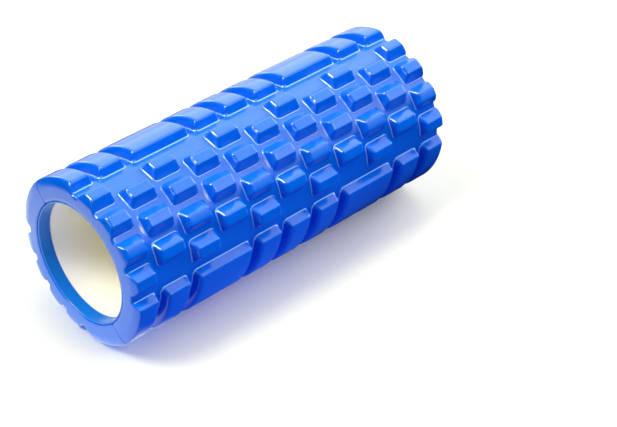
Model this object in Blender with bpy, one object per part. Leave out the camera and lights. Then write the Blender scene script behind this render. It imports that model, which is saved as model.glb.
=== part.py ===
"""Hollow foam massage roller, 330 mm long and 140 mm over its tread.

Two moulded EVA half sleeves are wrapped round a stiff tube and meet on two
straight seams.  A turned plastic ring closes each end: its socket slips over the
tube, its nose lines the mouth of the bore, and the lips of the foam halves trap
it.  The roller's axis lies along Y, front end towards -Y, with the origin at the
middle of the roller.

Each half carries the same tread on a lattice of eleven columns: seven staggered
rows of tapered blocks and, beyond them up to each seam, a band of bars that run
round the roller.  A half is built with its centre line on +X, then turned.
"""
import bpy
import bmesh
import math

# Lengths are in metres and angles in degrees.

# ---- overall sizes ----------------------------------------------------------
LENGTH = 0.330            # over the flat end faces
HALF = LENGTH / 2
R_TOP = 0.070             # over the blocks and bars
R_FLOOR = 0.062           # bottom of the grooves
GAP = 0.0003              # clearance between neighbouring pieces

# ---- tread lattice ----------------------------------------------------------
PITCH = 0.0311            # column spacing along the roller
COLUMNS = range(-5, 6)    # column numbers, 0 in the middle
TOP_LEN = 0.0210          # a block along the roller, at its top
BASE_LEN = 0.0260         # ... and at the groove floor
ROW_STEP = 10.85          # angle between rows
ROWS = range(-3, 4)       # row numbers, 0 on the half's centre line
TOP_HALF = 3.4            # half a block round the roller, at its top
BASE_HALF = 8.9           # ... and at the groove floor
BAR_TOP = 50.25           # where the bars' tops start, from the half's centre
BAR_BASE = 47.65          # ... and where their sloping ends meet the floor
# first and last column covered by each bar
BARS = ((-5, -5), (-4, -4), (-3, -2), (-1, -1), (0, 0), (1, 1), (2, 3), (4, 4), (5, 5))

# The roller rests on the flat between the lower half's outer row and its bars, so
# the middle of that flat faces straight down.  TURN is the angle of the upper
# half's centre line, up from +X towards +Z.
OUTER_ROW_EDGE = ROWS[-1] * ROW_STEP + TOP_HALF
TURN = 90.0 - (OUTER_ROW_EDGE + BAR_TOP) / 2

# ---- ends of the foam -------------------------------------------------------
END_DROP = 0.0035         # how far the tread's end edges are eased, radially
END_RUN = 0.0024          # ... and along the roller
FLOOR_DROP = 0.0018       # radial easing of the groove floor over the same run

# ---- core -------------------------------------------------------------------
TUBE_R_OUT = 0.0520
TUBE_R_IN = 0.0487
SEAT_R = TUBE_R_OUT + GAP  # bore of the foam and of the rings' sockets
RING_R_IN = 0.0493        # lining of the mouth
RING_R_NOSE = 0.0510      # outside of the nose, seen on the end face
RING_R_SKIRT = 0.0535     # outside of the socket
RING_RECESS = 0.0004      # the ring sits this far below the end face
RING_SHOULDER = 0.0030    # depth of the lip that traps the ring
RING_SEAT = 0.0107        # depth of the shoulder that the tube meets
RING_LENGTH = 0.0200      # depth of the socket's far end
RING_FACE_INSET = 0.0014  # from the ring's bore out to its flat face
RING_ROUND = 0.0015       # rounding of the mouth's edge
RING_CHAMFER = 0.0003     # bevel on the nose's outer edge

# ---- facets -----------------------------------------------------------------
SHARP_ANGLE = 30          # edges steeper than this are shaded sharp
ARC_STEP = 6.0            # facet of the sleeve and the end easing
ROUND_STEPS = 48          # facets round the tube and the rings
OUTLINE_STEPS = 32        # facets of the shape that trims a half
BLOCK_STEPS = 2
BAR_STEPS = 7

# ---- raw shapes and cutters -------------------------------------------------
SEAM_HALF = 0.17          # angle taken off each half at each seam
RAW_REACH = 93.0          # raw sleeve and bars, from the half's centre
EASE_REACH = 99.0         # end easing cutter, from the half's centre
OVER = 0.004              # how far raw shapes run past a face that trims them
SUNK = 0.0015             # how far the tread's lumps start below the groove floor
OUTLINE_R_IN = 0.040      # trimming shape, well inside the bore
OUTLINE_OVER = 0.0005     # ... and this far outside the tread
EASE_OVER_FLOOR = 0.001   # end easing cutter, above the groove floor
EASE_OVER_END = 0.002     # ... and beyond the raw sleeve's end


# ---- helpers ----------------------------------------------------------------
def clear_scene():
    for item in list(bpy.data.objects):
        bpy.data.objects.remove(item, do_unlink=True)


def polar(radius, angle, y):
    """Point at a radius from the Y axis, its angle running from +X to +Z."""
    turned_by = math.radians(angle)
    return (radius * math.cos(turned_by), y, radius * math.sin(turned_by))


def add_skin(shape, sections, closed=False):
    """Join matching outlines in turn; cap the ends unless they close on themselves."""
    rings = [[shape.verts.new(point) for point in section] for section in sections]
    following = rings[1:] + rings[:1] if closed else rings[1:]
    for near, far in zip(rings, following):
        for j in range(len(near)):
            k = (j + 1) % len(near)
            shape.faces.new((near[j], near[k], far[k], far[j]))
    if not closed:
        shape.faces.new(rings[0])
        shape.faces.new(list(reversed(rings[-1])))


def turned(profile, start=0.0, sweep=360.0, steps=ROUND_STEPS):
    """A closed (y, radius) outline swept about the Y axis."""
    closed = sweep >= 360.0
    stations = steps if closed else steps + 1
    sections = [[polar(radius, start + sweep * i / steps, y) for y, radius in profile]
                for i in range(stations)]
    shape = bmesh.new()
    add_skin(shape, sections, closed)
    return shape


def turned_part(profile, reach):
    """An outline swept to the same reach either side of +X, in ARC_STEP facets."""
    return turned(profile, -reach, 2 * reach, round(2 * reach / ARC_STEP))


def new_object(name, shape, material):
    bmesh.ops.recalc_face_normals(shape, faces=shape.faces[:])
    mesh = bpy.data.meshes.new(name)
    shape.to_mesh(mesh)
    shape.free()
    mesh.shade_smooth()
    mesh.set_sharp_from_angle(angle=math.radians(SHARP_ANGLE))
    mesh.materials.append(material)
    piece = bpy.data.objects.new(name, mesh)
    bpy.context.scene.collection.objects.link(piece)
    return piece


def new_material(name, colour, roughness):
    material = bpy.data.materials.new(name)
    material.use_nodes = True
    shader = material.node_tree.nodes["Principled BSDF"]
    shader.inputs["Base Color"].default_value = (*colour, 1.0)
    shader.inputs["Roughness"].default_value = roughness
    shader.inputs["Metallic"].default_value = 0.0
    material.diffuse_color = (*colour, 1.0)
    return material


# ---- tread ------------------------------------------------------------------
def add_lump(shape, base, top, steps):
    """One tapered lump: base and top are (y0, y1, angle0, angle1, radius).

    The lump's slopes carry on below the groove floor, so that it joins the
    sleeve soundly.
    """
    below = -SUNK / (top[4] - base[4])
    sunk = [low + (high - low) * below for low, high in zip(base, top)]
    sections = []
    for i in range(steps + 1):
        bottom_edge, top_edge = (
            [polar(radius, angle0 + (angle1 - angle0) * (i / steps), y) for y in (y0, y1)]
            for y0, y1, angle0, angle1, radius in (sunk, top))
        sections.append(bottom_edge + top_edge[::-1])
    add_skin(shape, sections)


def span(first, last, length):
    """Ends along Y of a lump over lattice columns first to last.

    A lump in an end column runs out past the end face.
    """
    y0 = PITCH * first - length / 2
    y1 = PITCH * last + length / 2
    if first == COLUMNS[0]:
        y0 = -HALF - OVER
    if last == COLUMNS[-1]:
        y1 = HALF + OVER
    return y0, y1


def add_tread_piece(shape, columns, base_angles, top_angles, steps):
    add_lump(shape,
             (*span(*columns, BASE_LEN), *base_angles, R_FLOOR),
             (*span(*columns, TOP_LEN), *top_angles, R_TOP), steps)


def tread():
    """All blocks and bars of one half, as separate closed lumps."""
    shape = bmesh.new()
    for row in ROWS:
        centre = row * ROW_STEP
        for column in COLUMNS:
            if (row + column) % 2 == 0:
                add_tread_piece(shape, (column, column),
                                (centre - BASE_HALF, centre + BASE_HALF),
                                (centre - TOP_HALF, centre + TOP_HALF), BLOCK_STEPS)
    for side in (-1, 1):
        for columns in BARS:
            add_tread_piece(shape, columns,
                            sorted((side * BAR_BASE, side * RAW_REACH)),
                            sorted((side * BAR_TOP, side * RAW_REACH)), BAR_STEPS)
    return shape


# ---- foam halves ------------------------------------------------------------
def sleeve():
    """Raw sleeve, with a pocket for each ring behind a lip at each end."""
    lip = RING_R_NOSE + GAP
    pocket = RING_R_SKIRT + GAP
    y_end = HALF + OVER
    y_lip = HALF - RING_SHOULDER + GAP
    y_pocket = HALF - RING_LENGTH - GAP
    profile = [(-y_end, R_FLOOR), (y_end, R_FLOOR),
               (y_end, lip), (y_lip, lip), (y_lip, pocket),
               (y_pocket, pocket), (y_pocket, SEAT_R),
               (-y_pocket, SEAT_R), (-y_pocket, pocket),
               (-y_lip, pocket), (-y_lip, lip), (-y_end, lip)]
    return turned_part(profile, RAW_REACH)


def half_outline():
    """Shape that trims a half at its end faces, end edges and seams."""
    outside = R_TOP + OUTLINE_OVER
    edge = R_TOP - END_DROP
    y_outside = HALF - END_RUN / END_DROP * (outside - edge)
    profile = [(-HALF, OUTLINE_R_IN), (HALF, OUTLINE_R_IN), (HALF, edge),
               (y_outside, outside), (-y_outside, outside), (-HALF, edge)]
    return turned(profile, -90.0 + SEAM_HALF, 180.0 - 2 * SEAM_HALF, OUTLINE_STEPS)


def end_ease(side):
    """Cutter that eases the groove floor down at one end face."""
    slope = END_RUN / FLOOR_DROP
    start = HALF - END_RUN
    far = HALF + OVER + EASE_OVER_END
    high = R_FLOOR + EASE_OVER_FLOOR
    profile = [(side * (start - EASE_OVER_FLOOR * slope), high),
               (side * far, R_FLOOR - (far - start) / slope),
               (side * far, high)]
    return turned_part(profile, EASE_REACH)


def foam_half(name, turn, material):
    """One moulded half: sleeve eased, tread joined on, then trimmed."""
    half = new_object(name, sleeve(), material)
    # The sleeve is eased before the tread joins it, so the blocks keep their height.
    for suffix, shape, operation in (("ease_front", end_ease(-1), "DIFFERENCE"),
                                     ("ease_rear", end_ease(1), "DIFFERENCE"),
                                     ("tread", tread(), "UNION"),
                                     ("outline", half_outline(), "INTERSECT")):
        operand = new_object(f"{name}_{suffix}", shape, material)
        operand.hide_render = True
        operand.display_type = "WIRE"
        operand.parent = half
        modifier = half.modifiers.new(operand.name, "BOOLEAN")
        modifier.operation = operation
        modifier.solver = "EXACT"
        modifier.object = operand
    half.rotation_euler = (0.0, -math.radians(turn), 0.0)


# ---- core -------------------------------------------------------------------
def core_tube(material):
    y_end = HALF - RING_SEAT - GAP
    profile = [(-y_end, TUBE_R_IN), (y_end, TUBE_R_IN),
               (y_end, TUBE_R_OUT), (-y_end, TUBE_R_OUT)]
    new_object("core_tube", turned(profile), material)


def end_ring(name, side, material):
    """Nose, shoulder and socket, drawn as (depth below the end face, radius)."""
    outline = [(RING_RECESS, RING_R_IN + RING_FACE_INSET),
               (RING_RECESS, RING_R_NOSE - RING_CHAMFER),
               (RING_RECESS + RING_CHAMFER, RING_R_NOSE),
               (RING_SHOULDER, RING_R_NOSE), (RING_SHOULDER, RING_R_SKIRT),
               (RING_LENGTH, RING_R_SKIRT), (RING_LENGTH, SEAT_R),
               (RING_SEAT, SEAT_R), (RING_SEAT, RING_R_IN)]
    # rounded edge of the mouth, from the bore back towards the flat face
    for angle in map(math.radians, (90, 60, 30)):
        outline.append((RING_RECESS + RING_ROUND * (1 - math.cos(angle)),
                        RING_R_IN + RING_ROUND * (1 - math.sin(angle))))
    profile = [(side * (HALF - depth), radius) for depth, radius in outline]
    new_object(name, turned(profile), material)


# ---- the roller -------------------------------------------------------------
def main():
    clear_scene()
    foam = new_material("blue_foam", colour=(0.010, 0.120, 0.720), roughness=0.42)
    ring = new_material("blue_plastic", colour=(0.012, 0.150, 0.760), roughness=0.25)
    tube = new_material("cream_plastic", colour=(0.800, 0.740, 0.620), roughness=0.35)
    core_tube(tube)
    end_ring("end_ring_front", -1, ring)
    end_ring("end_ring_rear", 1, ring)
    foam_half("foam_half_upper", TURN, foam)
    foam_half("foam_half_lower", TURN + 180.0, foam)


main()
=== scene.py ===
"""Hollow foam roller: two moulded EVA halves with a block tread, glossy end rings and a cream tube.

The roller's axis lies along Y through the origin, with its front end at -Y. Shapes are laid
out by s, the distance from the front end, r, the radius, and alpha, the angle in degrees from
the centre line of a foam half.
"""
import math

import bpy
import bmesh
import numpy as np
from mathutils import Matrix, Vector


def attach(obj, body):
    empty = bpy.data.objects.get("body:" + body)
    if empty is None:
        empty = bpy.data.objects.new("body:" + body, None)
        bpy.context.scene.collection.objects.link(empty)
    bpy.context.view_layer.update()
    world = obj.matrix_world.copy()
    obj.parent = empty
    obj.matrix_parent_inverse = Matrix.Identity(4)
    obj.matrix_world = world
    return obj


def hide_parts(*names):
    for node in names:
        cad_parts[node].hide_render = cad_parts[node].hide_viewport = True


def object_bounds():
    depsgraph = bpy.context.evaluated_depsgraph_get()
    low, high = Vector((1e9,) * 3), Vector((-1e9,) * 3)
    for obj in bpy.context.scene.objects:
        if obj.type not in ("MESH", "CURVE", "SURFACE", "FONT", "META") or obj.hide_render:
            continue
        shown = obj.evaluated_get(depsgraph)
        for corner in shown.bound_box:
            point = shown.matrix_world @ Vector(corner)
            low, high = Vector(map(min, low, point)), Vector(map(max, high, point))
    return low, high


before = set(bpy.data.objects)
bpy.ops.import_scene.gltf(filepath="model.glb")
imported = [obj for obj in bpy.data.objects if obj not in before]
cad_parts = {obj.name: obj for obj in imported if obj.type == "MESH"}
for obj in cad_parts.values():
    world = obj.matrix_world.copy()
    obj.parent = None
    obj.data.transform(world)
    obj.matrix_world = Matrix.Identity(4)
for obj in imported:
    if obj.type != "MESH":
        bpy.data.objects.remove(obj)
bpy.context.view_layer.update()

# ------------------------------------------------------------------ dimensions
# In millimetres, and degrees for angles, until a mesh is made.
MM = 1000.0                       # millimetres in a metre
LENGTH = 330.0
HALF = LENGTH / 2
TOP_R, FLOOR_R = 70.0, 62.0       # tops of the blocks, floor of the grooves
DEPTH = TOP_R - FLOOR_R
UPPER_TURN = 46.9                 # the upper half's centre line, up from +X towards +Z

# Tread: blocks in staggered rows, and bars beside the seams
MID_R = 66.0                      # arc lengths round the roller are taken at this radius
ARC = MID_R * math.pi / 180.0     # mm of arc for a degree
PITCH = 31.1                      # between columns, along the roller
OUTER_COLUMN = 5                  # columns are numbered from -5 to 5
ROW_STEP = 10.85
OUTER_ROW = 3                     # rows are numbered from -3 to 3
FOOT_HALF_LENGTH, TOP_HALF_LENGTH = 13.0, 10.5   # of a block, along the roller
FOOT_HALF_WIDTH, TOP_HALF_WIDTH = 10.25, 3.92    # of a block, round the roller
FOOT_CORNER_R, TOP_CORNER_R = 4.0, 1.9           # in plan
MIN_CORNER_R = 0.25
CROSS_EDGE_R, SIDE_EDGE_R = 3.6, 2.0  # rounding of the top edges, across and along the roller
FOOT_R = 1.4                      # rounding of the feet
SLOPE_RANGE = 1.2, 3.4            # limits on the steepness of the walls
BAR_TOP, BAR_FOOT = 50.25, 47.65  # angles of the bars' edges
# First and last column that each bar covers
BARS = ((-5, -5), (-4, -4), (-3, -2), (-1, -1), (0, 0), (1, 1), (2, 3), (4, 4), (5, 5))
SPLIT = 44.5                      # blocks below this angle, bars above

# Painted highlight: a pale line in the skin colour round each foot, where the foot roundings catch
# the light
LINE_OUT, LINE_WIDTH = 0.12, 0.30
LINE_BASE = 0.2                   # strength on the sides where the line hardly shows
LINE_FLIP_START, LINE_FLIP_RUN = -9.0, 6.0  # angles over which it changes sides
LINE_END_GAP, LINE_END_FADE = 1.0, 2.0      # it is absent at the ends, then fades in

# End faces
END_REACH = 7.0                   # the moulding is softer this far in from the ends
SOFTER_EDGE, SOFTER_FOOT = 2.0, 2.4   # added to the rounding at the very ends
END_ROOT_R = 61.0                 # where the end face starts to curl back in the blocks
END_RUN = 2.4                     # the blocks' end walls reach the top this far in
END_CURL = (TOP_R - END_ROOT_R) ** 2 / (2 * END_RUN)
END_EDGE_R = 2.0
VALLEY_R = 2.6                    # rounding of the groove floor at the end face
LUMP_RISE = 2.0                   # height over the floor at which the lumps' shape takes over

# Inside of the halves, and their seams
LIP_R, POCKET_R, SEAT_R = 51.55, 53.8, 52.3
LIP_S, POCKET_S = 2.7, 20.3
SEAM_GAP = 0.28                   # each half stops this far short of the seam plane
SEAM_R = 0.75                     # rounding of the tread at the seam
NOTCH_R = 2.2                     # rounded inner corners of the halves at the mouth
LIP_ROUNDING = ((0.35, 0.0), (0.10, 0.10), (0.0, 0.35))  # s, rise above the lip
FACE_FRACTIONS = 0.3, 0.6, 0.85   # further points on the end face, from lip to tread
FOAM_SHARP_ANGLE = 50

# End rings
RING_BORE_R, RING_NOSE_R, RING_SKIRT_R, RING_SOCKET_R = 49.3, 50.9, 53.5, 52.3
RING_NOSE_S, RING_SKIRT_S, RING_SOCKET_S, RING_BACK_S = 0.4, 3.0, 10.7, 20.0
RING_BORE_START = 5.0
RING_BORE_END, RING_CHAMFER = 10.5, 0.25

# Tube
TUBE_S = 11.0                     # from each end of the roller to the tube's end
TUBE_IN_R, TUBE_OUT_R = 48.7, 52.0
TUBE_EDGE_R = 0.4

TURNED_STEPS = 192
TURNED_SHARP_ANGLE = 40


# ------------------------------------------------------------------ tread shape
def smoothstep(x):
    x = np.clip(x, 0, 1)
    return x * x * (3 - 2 * x)


def corner_drop(distance, radius):
    """How far a convex rounding lies below its flat, at a distance from the edge."""
    distance = np.clip(distance, 0, radius)
    return radius - np.sqrt(np.maximum(radius ** 2 - (radius - distance) ** 2, 0))


def smooth_min(a, b, reach):
    """Minimum of two heights whose crossing is rounded over about reach millimetres."""
    share = np.clip(0.5 + 0.5 * (b - a) / reach, 0, 1)
    return b + (a - b) * share - reach * share * (1 - share)


def contour_level(x, y, foot, top):
    """Height at which a tapered, round-cornered block has its outline through (x, y).

    The half sizes go from foot to top, each (along, round) the roller. The law is carried
    on above the top and below the foot, so that edges can be rounded. Found by bisection.
    """
    low = np.full(x.shape, -8.0)
    high = np.full(x.shape, DEPTH + 40.0)
    x, y = np.abs(x), np.abs(y)
    for _ in range(34):
        middle = (low + high) / 2
        rise = middle / DEPTH
        length = foot[0] + (top[0] - foot[0]) * rise
        width = foot[1] + (top[1] - foot[1]) * rise
        corner = FOOT_CORNER_R + (TOP_CORNER_R - FOOT_CORNER_R) * rise
        corner = np.maximum(corner, MIN_CORNER_R)
        corner = np.minimum(corner, np.maximum(np.minimum(length, width), 0.05))
        past_x, past_y = x - (length - corner), y - (width - corner)
        beyond = np.hypot(np.maximum(past_x, 0), np.maximum(past_y, 0))
        outside = beyond + np.minimum(np.maximum(past_x, past_y), 0) - corner > 0
        high = np.where(outside, middle, high)
        low = np.where(outside, low, middle)
    return (low + high) / 2


def rounded(level, slope, top_radius, foot_radius):
    """Wall of the given slope between a flat top and a flat foot, both turns rounded."""
    lean = np.arctan(slope)
    height = np.clip(level, 0.0, DEPTH)

    setback = top_radius * np.tan(lean / 2)
    x = (DEPTH - level) / slope
    on_arc = (x > -setback) & (x < setback * np.cos(lean))
    arc = DEPTH - top_radius + np.sqrt(np.maximum(top_radius ** 2 - (x + setback) ** 2, 0))
    height = np.where(on_arc, arc, height)

    setback = foot_radius * np.tan(lean / 2)
    x = -level / slope
    on_arc = (x > -setback * np.cos(lean)) & (x < setback)
    arc = foot_radius - np.sqrt(np.maximum(foot_radius ** 2 - (setback - x) ** 2, 0))
    return np.where(on_arc, arc, height)


def block_level(y, angle):
    """Level of the nearest block; odd columns hold the odd rows, even columns the even."""
    column = np.round(y / PITCH)
    odd = np.mod(column, 2)
    row = 2 * np.round((angle / ROW_STEP - odd) / 2) + odd
    outermost = OUTER_ROW - 1 + odd
    row = np.clip(row, -outermost, outermost)
    return contour_level(y - column * PITCH, (angle - row * ROW_STEP) * ARC,
                         foot=(FOOT_HALF_LENGTH, FOOT_HALF_WIDTH),
                         top=(TOP_HALF_LENGTH, TOP_HALF_WIDTH))


def bar_level(y, angle):
    """Level of the nearest bar along the roller; each bar runs through the seam."""
    best = np.full(y.shape, -50.0)
    from_seam = (90.0 - np.abs(angle)) * ARC
    for first, last in BARS:
        x = y - (first + last) / 2 * PITCH
        extra = (last - first) / 2 * PITCH
        near = np.abs(x) < extra + PITCH * 0.5 + 0.01
        level = contour_level(x[near], from_seam[near],
                              foot=(FOOT_HALF_LENGTH + extra, (90 - BAR_FOOT) * ARC),
                              top=(TOP_HALF_LENGTH + extra, (90 - BAR_TOP) * ARC))
        best[near] = np.maximum(best[near], level)
    return best


def tread_height(s, alpha):
    """Height of the tread over the groove floor on the grid s x alpha.

    Also returns the strength of the painted highlight, a pale line that follows the feet.
    """
    y = s[:, None] - HALF + 0 * alpha[None, :]
    angle = alpha[None, :] + 0 * s[:, None]
    # the end columns carry on past the ends
    y = np.clip(y, -OUTER_COLUMN * PITCH, OUTER_COLUMN * PITCH)
    level = np.where(np.abs(angle) < SPLIT, block_level(y, angle), bar_level(y, angle))

    along, around = np.gradient(level, s, alpha * ARC)
    steepness = np.hypot(along, around)
    slope = np.clip(steepness, *SLOPE_RANGE)
    steepness = np.maximum(steepness, 1e-6)
    front, below = along / steepness, around / steepness

    # the painted highlight goes where the feet catch the light: along their fronts, below the upper
    # rows and above the lower ones
    upper = np.clip((angle - LINE_FLIP_START) / LINE_FLIP_RUN, 0, 1)
    shown = (np.clip(front, 0, 1) ** 2 + np.clip(below, 0, 1) ** 2 * upper
             + np.clip(-below, 0, 1) ** 2 * (1 - upper))
    line = np.exp(-((-level / slope - LINE_OUT) / LINE_WIDTH) ** 2)
    line = line * (LINE_BASE + (1 - LINE_BASE) * np.clip(shown, 0, 1))

    # softer moulding towards the ends makes the outline of the end faces wavy
    soft = smoothstep(1 - np.minimum(s, LENGTH - s) / END_REACH)[:, None]
    edge = SIDE_EDGE_R + (CROSS_EDGE_R - SIDE_EDGE_R) * front ** 2
    return rounded(level, slope, edge + SOFTER_EDGE * soft, FOOT_R + SOFTER_FOOT * soft), line


def eased_ends(s, radius):
    """Tread radius near the end faces: curled end walls on the lumps, rounded valleys."""
    depth = np.minimum(s, LENGTH - s)[:, None]
    wall = END_ROOT_R + np.sqrt(2 * END_CURL * depth)
    lumps = smooth_min(radius, wall, END_EDGE_R)
    floor = np.minimum(radius, FLOOR_R - corner_drop(depth, VALLEY_R))
    blend = smoothstep((radius - FLOOR_R) / LUMP_RISE)
    return np.where(depth > END_REACH, radius, floor + (np.maximum(lumps, floor) - floor) * blend)


# ------------------------------------------------------------------ grid lines
# Places of the grid lines beside the turns of the tread, in mm outward from the edge named
LENGTH_FOOT = -0.30, -0.02, 0.20, 0.45, 0.80
LENGTH_TOP = -2.5, -1.8, -1.1, -0.5, 0.0, 0.4, 0.75
LENGTH_WALL = 12.0                # from the column's centre
LENGTH_CREST = 4.7                # from the column's centre
ARC_FOOT = -0.35, -0.08, 0.15, 0.38, 0.65, -1.1, -2.2
ARC_TOP = -1.4, -0.9, -0.4, 0.05, 0.45, 0.85
# For the bars, positive is towards the seam
BAR_FOOT_LINES = 0.35, 0.08, -0.15, -0.38, -0.65
BAR_TOP_LINES = 3.2, 2.0, 1.4, 0.85, 0.35, -0.05, -0.35, -0.65, -1.6, -3.2
# Distances in from the seam edge, and from the end faces
SEAM_LINES = 0.0, 0.06, 0.16, 0.3, 0.48, 0.7, 0.95, 1.3, 2.2
END_LINES = (0.0, 0.03, 0.1, 0.2, 0.34, 0.52, 0.75, 1.0, 1.3, 1.6, 1.9, 2.15, 2.4, 2.65, 2.95,
             3.3, 4.0)
END_LINES_ONLY = 4.1              # no other lines this close to the ends
MIN_GAP = 0.03
WIDEST_LENGTH_GAP, WIDEST_ARC_GAP = 5.0, 2.6


def spread(features, start, stop, widest):
    """Sorted line positions: the features, with plain lines between where gaps are wide."""
    inside = {round(p, 4) for p in features if start - 1e-6 <= p <= stop + 1e-6}
    places = sorted(inside | {start, stop})
    lines = [places[0]]
    for place in places[1:]:
        last = lines[-1]
        if place - last < MIN_GAP:
            continue
        count = math.ceil((place - last) / widest)
        lines += [last + (place - last) * i / count for i in range(1, count + 1)]
    lines[-1] = stop
    return np.array(lines)


def length_lines():
    """Values of s for the grid."""
    lines = []
    for column in range(-OUTER_COLUMN, OUTER_COLUMN + 1):
        centre = column * PITCH + HALF
        for side in (-1, 1):
            lines += [centre + side * (FOOT_HALF_LENGTH + d) for d in LENGTH_FOOT]
            lines += [centre + side * (TOP_HALF_LENGTH + d) for d in LENGTH_TOP]
            lines += [centre + side * LENGTH_WALL]
        lines += [centre - LENGTH_CREST, centre, centre + LENGTH_CREST]
    lines = [s for s in lines if END_LINES_ONLY < s < LENGTH - END_LINES_ONLY]
    lines += END_LINES
    lines += [LENGTH - s for s in END_LINES]
    return spread(lines, 0.0, LENGTH, WIDEST_LENGTH_GAP)


def arc_lines():
    """Values of alpha for the grid."""
    lines = []
    edge = 90.0 * ARC - SEAM_GAP
    for side in (-1, 1):
        for row in range(-OUTER_ROW, OUTER_ROW + 1):
            centre = row * ROW_STEP * ARC
            lines += [centre + side * (FOOT_HALF_WIDTH + d) for d in ARC_FOOT]
            lines += [centre + side * (TOP_HALF_WIDTH + d) for d in ARC_TOP]
        lines += [side * (BAR_FOOT * ARC + d) for d in BAR_FOOT_LINES]
        lines += [side * (BAR_TOP * ARC + d) for d in BAR_TOP_LINES]
        lines += [side * (SPLIT * ARC)]
        lines += [side * (edge - d) for d in SEAM_LINES]
    return spread(lines, -edge, edge, WIDEST_ARC_GAP) / ARC


# ------------------------------------------------------------------ meshes
def at_rear(points):
    """The (s, r) points of the front end, moved to the rear end in the same order."""
    return [(LENGTH - s, r) for s, r in points]


def fillet(points, radii, steps):
    """A polyline with its inner corners turned into arcs."""
    result = [points[0]]
    for before, corner, after, radius in zip(points, points[1:], points[2:], radii):
        before, corner, after = (np.array(p, float) for p in (before, corner, after))
        back, ahead = before - corner, after - corner
        back_length, ahead_length = np.linalg.norm(back), np.linalg.norm(ahead)
        back, ahead = back / back_length, ahead / ahead_length
        angle = math.acos(float(back @ ahead))
        # the arc takes less than half of either neighbouring side
        setback = min(radius / math.tan(angle / 2), back_length * 0.48, ahead_length * 0.48)
        radius = setback * math.tan(angle / 2)
        bisector = (back + ahead) / np.linalg.norm(back + ahead)
        centre = corner + bisector * (radius / math.sin(angle / 2))
        start = corner + back * setback - centre
        end = corner + ahead * setback - centre
        turn = math.pi - angle
        for i in range(steps + 1):
            start_share = math.sin((1 - i / steps) * turn) / math.sin(turn)
            end_share = math.sin(i / steps * turn) / math.sin(turn)
            result.append(tuple(centre + start * start_share + end * end_share))
    result.append(points[-1])
    return result


def make_object(name, verts, faces, material):
    """A smooth-shaded object with its normals facing outward."""
    mesh = bpy.data.meshes.new(name)
    mesh.from_pydata([tuple(v) for v in verts], [], faces)
    mesh.validate()
    bm = bmesh.new()
    bm.from_mesh(mesh)
    bmesh.ops.recalc_face_normals(bm, faces=bm.faces[:])
    bm.to_mesh(mesh)
    bm.free()
    mesh.shade_smooth()
    mesh.materials.append(material)
    ob = bpy.data.objects.new(name, mesh)
    bpy.context.scene.collection.objects.link(ob)
    return ob


def close_seams(mesh, outline_count, across):
    """Flat caps on both seam faces of a half, whose outlines are the grid's side edges."""
    bm = bmesh.new()
    bm.from_mesh(mesh)
    bm.verts.ensure_lookup_table()
    caps = []
    for j in (0, across - 1):
        cap = bm.faces.new([bm.verts[i * across + j] for i in range(outline_count)])
        cap.smooth = False
        caps.append(cap)
    bmesh.ops.recalc_face_normals(bm, faces=bm.faces[:])
    bmesh.ops.triangulate(bm, faces=caps)
    bm.to_mesh(mesh)
    bm.free()


def foam_half(name, turn, material):
    """One half of the foam: a closed outline of (s, r) stations, each an arc over alpha."""
    alpha = arc_lines()
    s_lines = length_lines()
    height, line = tread_height(s_lines, alpha)
    tread = eased_ends(s_lines, FLOOR_R + height)

    # rounding at the seam, and the notch that the rounded inner corners leave
    from_seam = np.maximum((90.0 - np.abs(alpha)) * math.pi / 180.0 * TOP_R - SEAM_GAP, 0)
    tread = tread - corner_drop(from_seam, SEAM_R)
    lip = LIP_R + corner_drop(from_seam * LIP_R / TOP_R, NOTCH_R)

    def end_face(edge):
        """The front end face from the lip out to the tread's own edge."""
        return ([(s, lip + rise) for s, rise in LIP_ROUNDING]
                + [(0.0, lip + (edge - lip) * f) for f in FACE_FRACTIONS])

    # inside of the front end: seat on the tube, pocket for the ring, lip
    inside = [(POCKET_S, SEAT_R), (POCKET_S, POCKET_R),
              (LIP_S, np.maximum(POCKET_R, lip + 0.1)), (LIP_S, lip)]
    front_face = end_face(tread[0])
    outline = front_face + list(zip(s_lines, tread)) + at_rear(end_face(tread[-1]))[::-1]
    outline += at_rear(inside)[::-1] + inside

    count, across = len(outline), len(alpha)
    full = np.ones(across)
    s = np.array([s * full for s, _ in outline])
    radius = np.array([r * full for _, r in outline])
    # each half stops at a plane parallel to the seam plane, not at a radial one
    angle = np.radians(alpha)[None, :]
    x = np.maximum(radius * np.cos(angle), SEAM_GAP)
    z = radius * np.sin(angle)
    cos, sin = math.cos(math.radians(turn)), math.sin(math.radians(turn))
    verts = np.stack([x * cos - z * sin, s - HALF, x * sin + z * cos], -1).reshape(-1, 3) / MM
    faces = []
    for i in range(count):
        k = (i + 1) % count
        for j in range(across - 1):
            faces.append((i * across + j, i * across + j + 1,
                          k * across + j + 1, k * across + j))
    ob = make_object(name, verts, faces, material)

    depth = np.minimum(s_lines, LENGTH - s_lines)[:, None]
    first = len(front_face)
    # painted highlight: strength of the pale foot line at each vertex, kept for the skin colour
    painted_foot_highlight = np.zeros((count, across))
    painted_foot_highlight[first:first + len(s_lines)] = line * np.clip(
        (depth - LINE_END_GAP) / LINE_END_FADE, 0, 1)
    attribute = ob.data.attributes.new("painted_foot_highlight", "FLOAT", "POINT")
    attribute.data.foreach_set("value", painted_foot_highlight.ravel().astype(np.float32))
    close_seams(ob.data, count, across)
    ob.data.set_sharp_from_angle(angle=math.radians(FOAM_SHARP_ANGLE))
    return ob


def turned(name, profile, material):
    """A closed (s, r) outline swept about the roller's axis."""
    count = len(profile)
    verts, faces = [], []
    for i in range(TURNED_STEPS):
        angle = 2 * math.pi * i / TURNED_STEPS
        verts += [(r * math.cos(angle) / MM, (s - HALF) / MM, r * math.sin(angle) / MM)
                  for s, r in profile]
        k = (i + 1) % TURNED_STEPS
        for j in range(count):
            l = (j + 1) % count
            faces.append((i * count + j, i * count + l, k * count + l, k * count + j))
    ob = make_object(name, verts, faces, material)
    ob.data.set_sharp_from_angle(angle=math.radians(TURNED_SHARP_ANGLE))
    return ob


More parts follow.
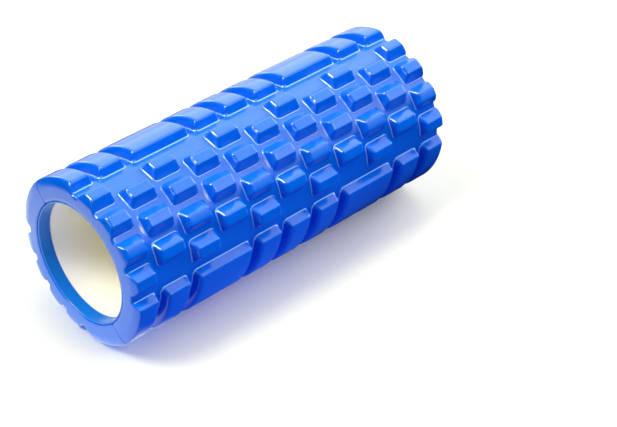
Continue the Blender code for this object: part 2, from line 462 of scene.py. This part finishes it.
def ring_profile():
    """Front ring: rounded nose, skirt, socket over the tube, and back to the bore."""
    nose = fillet([(RING_BORE_START, RING_BORE_R), (RING_NOSE_S, RING_BORE_R),
                   (RING_NOSE_S, RING_NOSE_R), (RING_SKIRT_S, RING_NOSE_R)],
                  radii=[1.5, 0.25], steps=8)
    return nose + [(RING_SKIRT_S, RING_SKIRT_R), (RING_BACK_S, RING_SKIRT_R),
                   (RING_BACK_S, RING_SOCKET_R), (RING_SOCKET_S, RING_SOCKET_R),
                   (RING_SOCKET_S, RING_BORE_R + RING_CHAMFER), (RING_BORE_END, RING_BORE_R)]


def tube_profile():
    """Wall of the tube, with the edges of both ends rounded."""
    front = fillet([(HALF, TUBE_IN_R), (TUBE_S, TUBE_IN_R),
                    (TUBE_S, TUBE_OUT_R), (HALF, TUBE_OUT_R)],
                   radii=[TUBE_EDGE_R, TUBE_EDGE_R], steps=4)[1:-1]
    return front + at_rear(front)[::-1]


# ------------------------------------------------------------------ shader nodes
# An input may be given as a plain value or as another node's output.
def feed(nt, socket, value):
    if isinstance(value, bpy.types.NodeSocket):
        nt.links.new(value, socket)
    else:
        socket.default_value = value


def new_material(name, colour, roughness):
    mat = bpy.data.materials.new(name)
    mat.use_nodes = True
    nt = mat.node_tree
    bsdf = nt.nodes["Principled BSDF"]
    bsdf.inputs["Base Color"].default_value = (*colour, 1)
    bsdf.inputs["Roughness"].default_value = roughness
    bsdf.inputs["IOR"].default_value = 1.5
    bsdf.inputs["Coat Weight"].default_value = 0.0
    bsdf.inputs["Coat Roughness"].default_value = 0.1
    return mat, nt, bsdf


def noise(nt, scale, detail, roughness=0.55):
    coords = nt.nodes.new("ShaderNodeTexCoord")
    node = nt.nodes.new("ShaderNodeTexNoise")
    node.inputs["Scale"].default_value = scale
    node.inputs["Detail"].default_value = detail
    node.inputs["Roughness"].default_value = roughness
    nt.links.new(coords.outputs["Object"], node.inputs["Vector"])
    return node.outputs["Fac"]


def map_range(nt, source, span, to, smooth=False):
    """Maps the span (low, high) of the source onto the range to."""
    node = nt.nodes.new("ShaderNodeMapRange")
    if smooth:
        node.interpolation_type = "SMOOTHSTEP"
    node.inputs["From Min"].default_value, node.inputs["From Max"].default_value = span
    node.inputs["To Min"].default_value, node.inputs["To Max"].default_value = to
    nt.links.new(source, node.inputs["Value"])
    return node.outputs["Result"]


def mix_colours(nt, factor, first, second):
    node = nt.nodes.new("ShaderNodeMixRGB")
    feed(nt, node.inputs["Fac"], factor)
    feed(nt, node.inputs["Color1"], first)
    feed(nt, node.inputs["Color2"], second)
    return node.outputs["Color"]


def bump(nt, height, strength, distance, normal=None):
    node = nt.nodes.new("ShaderNodeBump")
    node.inputs["Strength"].default_value = strength
    node.inputs["Distance"].default_value = distance
    nt.links.new(height, node.inputs["Height"])
    if normal is not None:
        nt.links.new(normal, node.inputs["Normal"])
    return node.outputs["Normal"]


def vector_math(nt, operation, first, second=None):
    node = nt.nodes.new("ShaderNodeVectorMath")
    node.operation = operation
    feed(nt, node.inputs[0], first)
    if second is not None:
        feed(nt, node.inputs[1], second)
    return node


def math_node(nt, operation, first, second=None):
    node = nt.nodes.new("ShaderNodeMath")
    node.operation = operation
    feed(nt, node.inputs[0], first)
    if second is not None:
        feed(nt, node.inputs[1], second)
    return node.outputs["Value"]


def output_by_ray(nt, others, camera, output):
    """Shows one shader to the camera and another to all other rays."""
    path = nt.nodes.new("ShaderNodeLightPath")
    pick = nt.nodes.new("ShaderNodeMixShader")
    nt.links.new(path.outputs["Is Camera Ray"], pick.inputs["Fac"])
    nt.links.new(others, pick.inputs[1])
    nt.links.new(camera, pick.inputs[2])
    nt.links.new(pick.outputs["Shader"], nt.nodes[output].inputs["Surface"])


# ------------------------------------------------------------------ materials
def foam_material():
    """Glossy blue skin with a painted highlight, pale lines round the feet of the tread."""
    mat, nt, bsdf = new_material("eva_foam", colour=(0.0, 0.12, 0.66), roughness=0.15)
    # the skin's roughness drifts over centimetres; its colour very slightly
    broad = noise(nt, scale=38.0, detail=3.0)
    roughness = map_range(nt, broad, span=(0.3, 0.7), to=(0.12, 0.17))
    nt.links.new(roughness, bsdf.inputs["Roughness"])
    skin = mix_colours(nt, broad, first=(0.0, 0.107, 0.66, 1), second=(0.0, 0.118, 0.71, 1))
    # painted highlight: the pale foot lines are mixed into the skin colour as a light blue
    line = nt.nodes.new("ShaderNodeAttribute")
    line.attribute_name = "painted_foot_highlight"
    pale = map_range(nt, line.outputs["Fac"], span=(0.15, 1.0), to=(0.0, 0.85))
    colour = mix_colours(nt, pale, first=skin, second=(0.36, 0.62, 1.0, 1))
    nt.links.new(colour, bsdf.inputs["Base Color"])
    # moulded skin: a soft unevenness of a few millimetres, and a fine closed-cell grain
    soft = noise(nt, scale=260.0, detail=2.0)
    fine = noise(nt, scale=2600.0, detail=3.0, roughness=0.6)
    uneven = bump(nt, soft, strength=0.10, distance=0.0004)
    grain = bump(nt, fine, strength=0.04, distance=0.00006, normal=uneven)
    nt.links.new(grain, bsdf.inputs["Normal"])
    return mat


def ring_material():
    """Blue plastic with a slowly drifting gloss."""
    mat, nt, bsdf = new_material("ring_plastic", colour=(0.0, 0.165, 0.68), roughness=0.2)
    bsdf.inputs["Specular IOR Level"].default_value = 0.22
    broad = noise(nt, scale=60.0, detail=3.0)
    roughness = map_range(nt, broad, span=(0.3, 0.7), to=(0.16, 0.24))
    nt.links.new(roughness, bsdf.inputs["Roughness"])
    return mat


def tube_material():
    """Cream plastic, faintly mottled, with painted shade: darker and warmer deep inside, paler near
    the two mouths where the light comes in.
    """
    mat, nt, bsdf = new_material("tube_plastic", colour=(0.92, 0.88, 0.78), roughness=0.35)
    broad = noise(nt, scale=25.0, detail=3.0)
    coords = nt.nodes.new("ShaderNodeTexCoord")
    xyz = nt.nodes.new("ShaderNodeSeparateXYZ")
    nt.links.new(coords.outputs["Object"], xyz.inputs["Vector"])
    # painted shade: the cream turns darker and warmer towards the middle of the tube, away from the
    # lit mouths
    from_middle = math_node(nt, "ABSOLUTE", xyz.outputs["Y"])
    inside = map_range(nt, from_middle, span=(0.105, 0.150), to=(1.0, 0.0))
    mouth = mix_colours(nt, broad, first=(0.91, 0.89, 0.90, 1), second=(0.93, 0.91, 0.93, 1))
    painted_inner_shade = mix_colours(nt, broad, first=(0.91, 0.85, 0.56, 1), second=(0.93, 0.88, 0.62, 1))
    colour = mix_colours(nt, inside, first=mouth, second=painted_inner_shade)
    nt.links.new(colour, bsdf.inputs["Base Color"])
    return mat


# ------------------------------------------------------------------ the roller
def install(ob, piece):
    """Puts an object in the frame in place of a CAD piece."""
    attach(ob, "root")
    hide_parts(piece)


foam = foam_material()
ring = ring_material()
tube = tube_material()

for part, turn in (("upper", UPPER_TURN), ("lower", UPPER_TURN + 180.0)):
    install(foam_half(f"foam_{part}", turn, foam), f"foam_half_{part}")

for end, profile in (("front", ring_profile()), ("rear", at_rear(ring_profile()))):
    install(turned(f"ring_{end}", profile, ring), f"end_ring_{end}")

install(turned("tube", tube_profile(), tube), "core_tube")

# ------------------------------------------------------------------ stage
# In metres; azimuths are in degrees from +X towards +Y.
FLOOR_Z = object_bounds()[0].z - 0.0002
FLOOR_HALF = 6

# Soft patches of light in the floor: azimuth, the cosines from it at which the patch starts
# and is full, the radii at which it starts, is full, begins to fade and is gone, and colour
CARDS = (
    (250, 0.60, 0.80, 0.00, 0.05, 0.33, 0.43, (1.5, 1.5, 1.15)),
    (222, 0.86, 0.94, 0.00, 0.05, 0.25, 0.31, (1.1, 1.1, 0.8)),
    (140, 0.30, 0.90, 0.25, 0.45, 3.00, 6.00, (1.1, 1.1, 0.85)),
    (325, 0.00, 0.80, 0.00, 0.05, 0.30, 0.60, (0.0, 0.08, 0.55)),
    (0, 0.10, 0.80, 0.00, 0.03, 0.20, 0.50, (0.06, 0.18, 0.62)),
)

# Soft patches of light in the surround: azimuth, elevation, the angles from the middle
# within which it is full and beyond which it is gone, and strength
LOBES = (
    (244, 54, 11, 16, 17.0),      # key, over the front end
    (258, 17, 8, 14, 5.5),        # low, in front
    (88, 18, 12, 22, 8.0),        # behind the rear end
    (13, 45, 6, 10, 16.0),        # from +X
    (330, 33, 8, 16, 1.0),
    (72, 56, 30, 46, 1.95),       # broad, over the rear end
    (40, 32, 7, 15, 0.8),
    (200, 76, 8, 20, 1.2),        # almost overhead
    (140, 14, 24, 44, 2.0),       # broad and low, between -X and +Y
    (168, 5, 8, 14, 3.0),         # close to the floor, from -X
)


def direction(azimuth, elevation):
    a, e = math.radians(azimuth), math.radians(elevation)
    return Vector((math.cos(e) * math.cos(a), math.cos(e) * math.sin(a), math.sin(e)))


def stage_floor():
    """A plain floor for the camera; the roller itself sees it as the glowing cards."""
    corners = ((-1, -1), (1, -1), (1, 1), (-1, 1))
    mesh = bpy.data.meshes.new("floor")
    mesh.from_pydata([(x * FLOOR_HALF, y * FLOOR_HALF, FLOOR_Z) for x, y in corners],
                     [], [(0, 1, 2, 3)])
    ob = bpy.data.objects.new("floor", mesh)
    bpy.context.scene.collection.objects.link(ob)
    mat, nt, bsdf = new_material("floor_paint", colour=(0.66, 0.665, 0.71), roughness=0.7)
    bsdf.inputs["Specular IOR Level"].default_value = 0.0
    coords = nt.nodes.new("ShaderNodeTexCoord").outputs["Object"]
    outward = vector_math(nt, "NORMALIZE", coords).outputs["Vector"]
    reach = vector_math(nt, "LENGTH", coords).outputs["Value"]
    total = None
    for azimuth, cos_start, cos_full, start, full, fade, gone, colour in CARDS:
        side = vector_math(nt, "DOT_PRODUCT", outward, direction(azimuth, 0)).outputs["Value"]
        level = map_range(nt, side, span=(cos_start, cos_full), to=(0.0, 1.0), smooth=True)
        near = map_range(nt, reach, span=(start, full), to=(0.0, 1.0))
        far = map_range(nt, reach, span=(fade, gone), to=(1.0, 0.0))
        level = math_node(nt, "MULTIPLY", level, near)
        level = math_node(nt, "MULTIPLY", level, far)
        glow = vector_math(nt, "SCALE", colour)
        nt.links.new(level, glow.inputs["Scale"])
        if total is not None:
            glow = vector_math(nt, "ADD", glow.outputs["Vector"], total)
        total = glow.outputs["Vector"]
    card = nt.nodes.new("ShaderNodeEmission")
    nt.links.new(total, card.inputs["Color"])
    output_by_ray(nt, others=card.outputs["Emission"], camera=bsdf.outputs["BSDF"],
                  output="Material Output")
    mat.cycles.emission_sampling = "NONE"
    mesh.materials.append(mat)


def surround(base):
    """An even glow plus the lobes; the camera sees a plain white backdrop in their place."""
    world = bpy.data.worlds.new("studio")
    bpy.context.scene.world = world
    world.use_nodes = True
    nt = world.node_tree
    lights = nt.nodes["Background"]
    coords = nt.nodes.new("ShaderNodeTexCoord").outputs["Generated"]
    total = base
    for azimuth, elevation, inner, outer, strength in LOBES:
        dot = vector_math(nt, "DOT_PRODUCT", coords, direction(azimuth, elevation))
        lobe = map_range(nt, dot.outputs["Value"],
                         span=(math.cos(math.radians(outer)), math.cos(math.radians(inner))),
                         to=(0.0, strength), smooth=True)
        total = math_node(nt, "ADD", lobe, total)
    nt.links.new(total, lights.inputs["Strength"])
    lights.inputs["Color"].default_value = (1, 1, 1, 1)
    backdrop = nt.nodes.new("ShaderNodeBackground")
    backdrop.inputs["Color"].default_value = (0.96, 0.96, 1.0, 1)
    backdrop.inputs["Strength"].default_value = 1.25
    output_by_ray(nt, others=lights.outputs["Background"],
                  camera=backdrop.outputs["Background"], output="World Output")


def softbox(name, azimuth, elevation, distance, size, power):
    """A square light facing the roller that only adds to its highlights."""
    data = bpy.data.lights.new(name, "AREA")
    data.size = size
    data.energy = power
    ob = bpy.data.objects.new(name, data)
    bpy.context.scene.collection.objects.link(ob)
    towards = direction(azimuth, elevation)
    ob.location = towards * distance
    ob.rotation_euler = (-towards).to_track_quat("-Z", "Y").to_euler()
    ob.visible_diffuse = False


def add_camera(location, right, forward, turn):
    """A long lens, placed by its axes and then turned about the roller's axis by -turn."""
    data = bpy.data.cameras.new("camera")
    ob = bpy.data.objects.new("camera", data)
    bpy.context.scene.collection.objects.link(ob)
    right = Vector(right).normalized()
    up = right.cross(Vector(forward)).normalized()
    forward = up.cross(right).normalized()
    axes = Matrix((right, up, -forward)).transposed().to_4x4()
    placed = Matrix.Translation(location) @ axes
    ob.matrix_world = Matrix.Rotation(math.radians(-turn), 4, "Y") @ placed
    data.lens = 102.6
    data.sensor_width = 36.0
    data.clip_start = 0.01
    data.clip_end = 50
    bpy.context.scene.camera = ob


def set_view():
    """Standard view; the strong blue rolls off softly instead of clipping."""
    view = bpy.context.scene.view_settings
    view.view_transform = "Standard"
    view.use_curve_mapping = True
    blue = view.curve_mapping.curves[2]
    blue.points[1].location = (1.0, 0.88)
    for x, y in ((0.50, 0.50), (0.75, 0.71)):
        blue.points.new(x, y)
    view.curve_mapping.update()


stage_floor()
surround(base=0.02)
softbox("key_gloss", azimuth=236, elevation=48.5, distance=2.5, size=1.5, power=145)
add_camera(location=(0.8757, -0.77225, 0.7937), right=(0.695, 0.719, 0.0),
           forward=(-0.586, 0.566, -0.579), turn=2.7)
set_view()
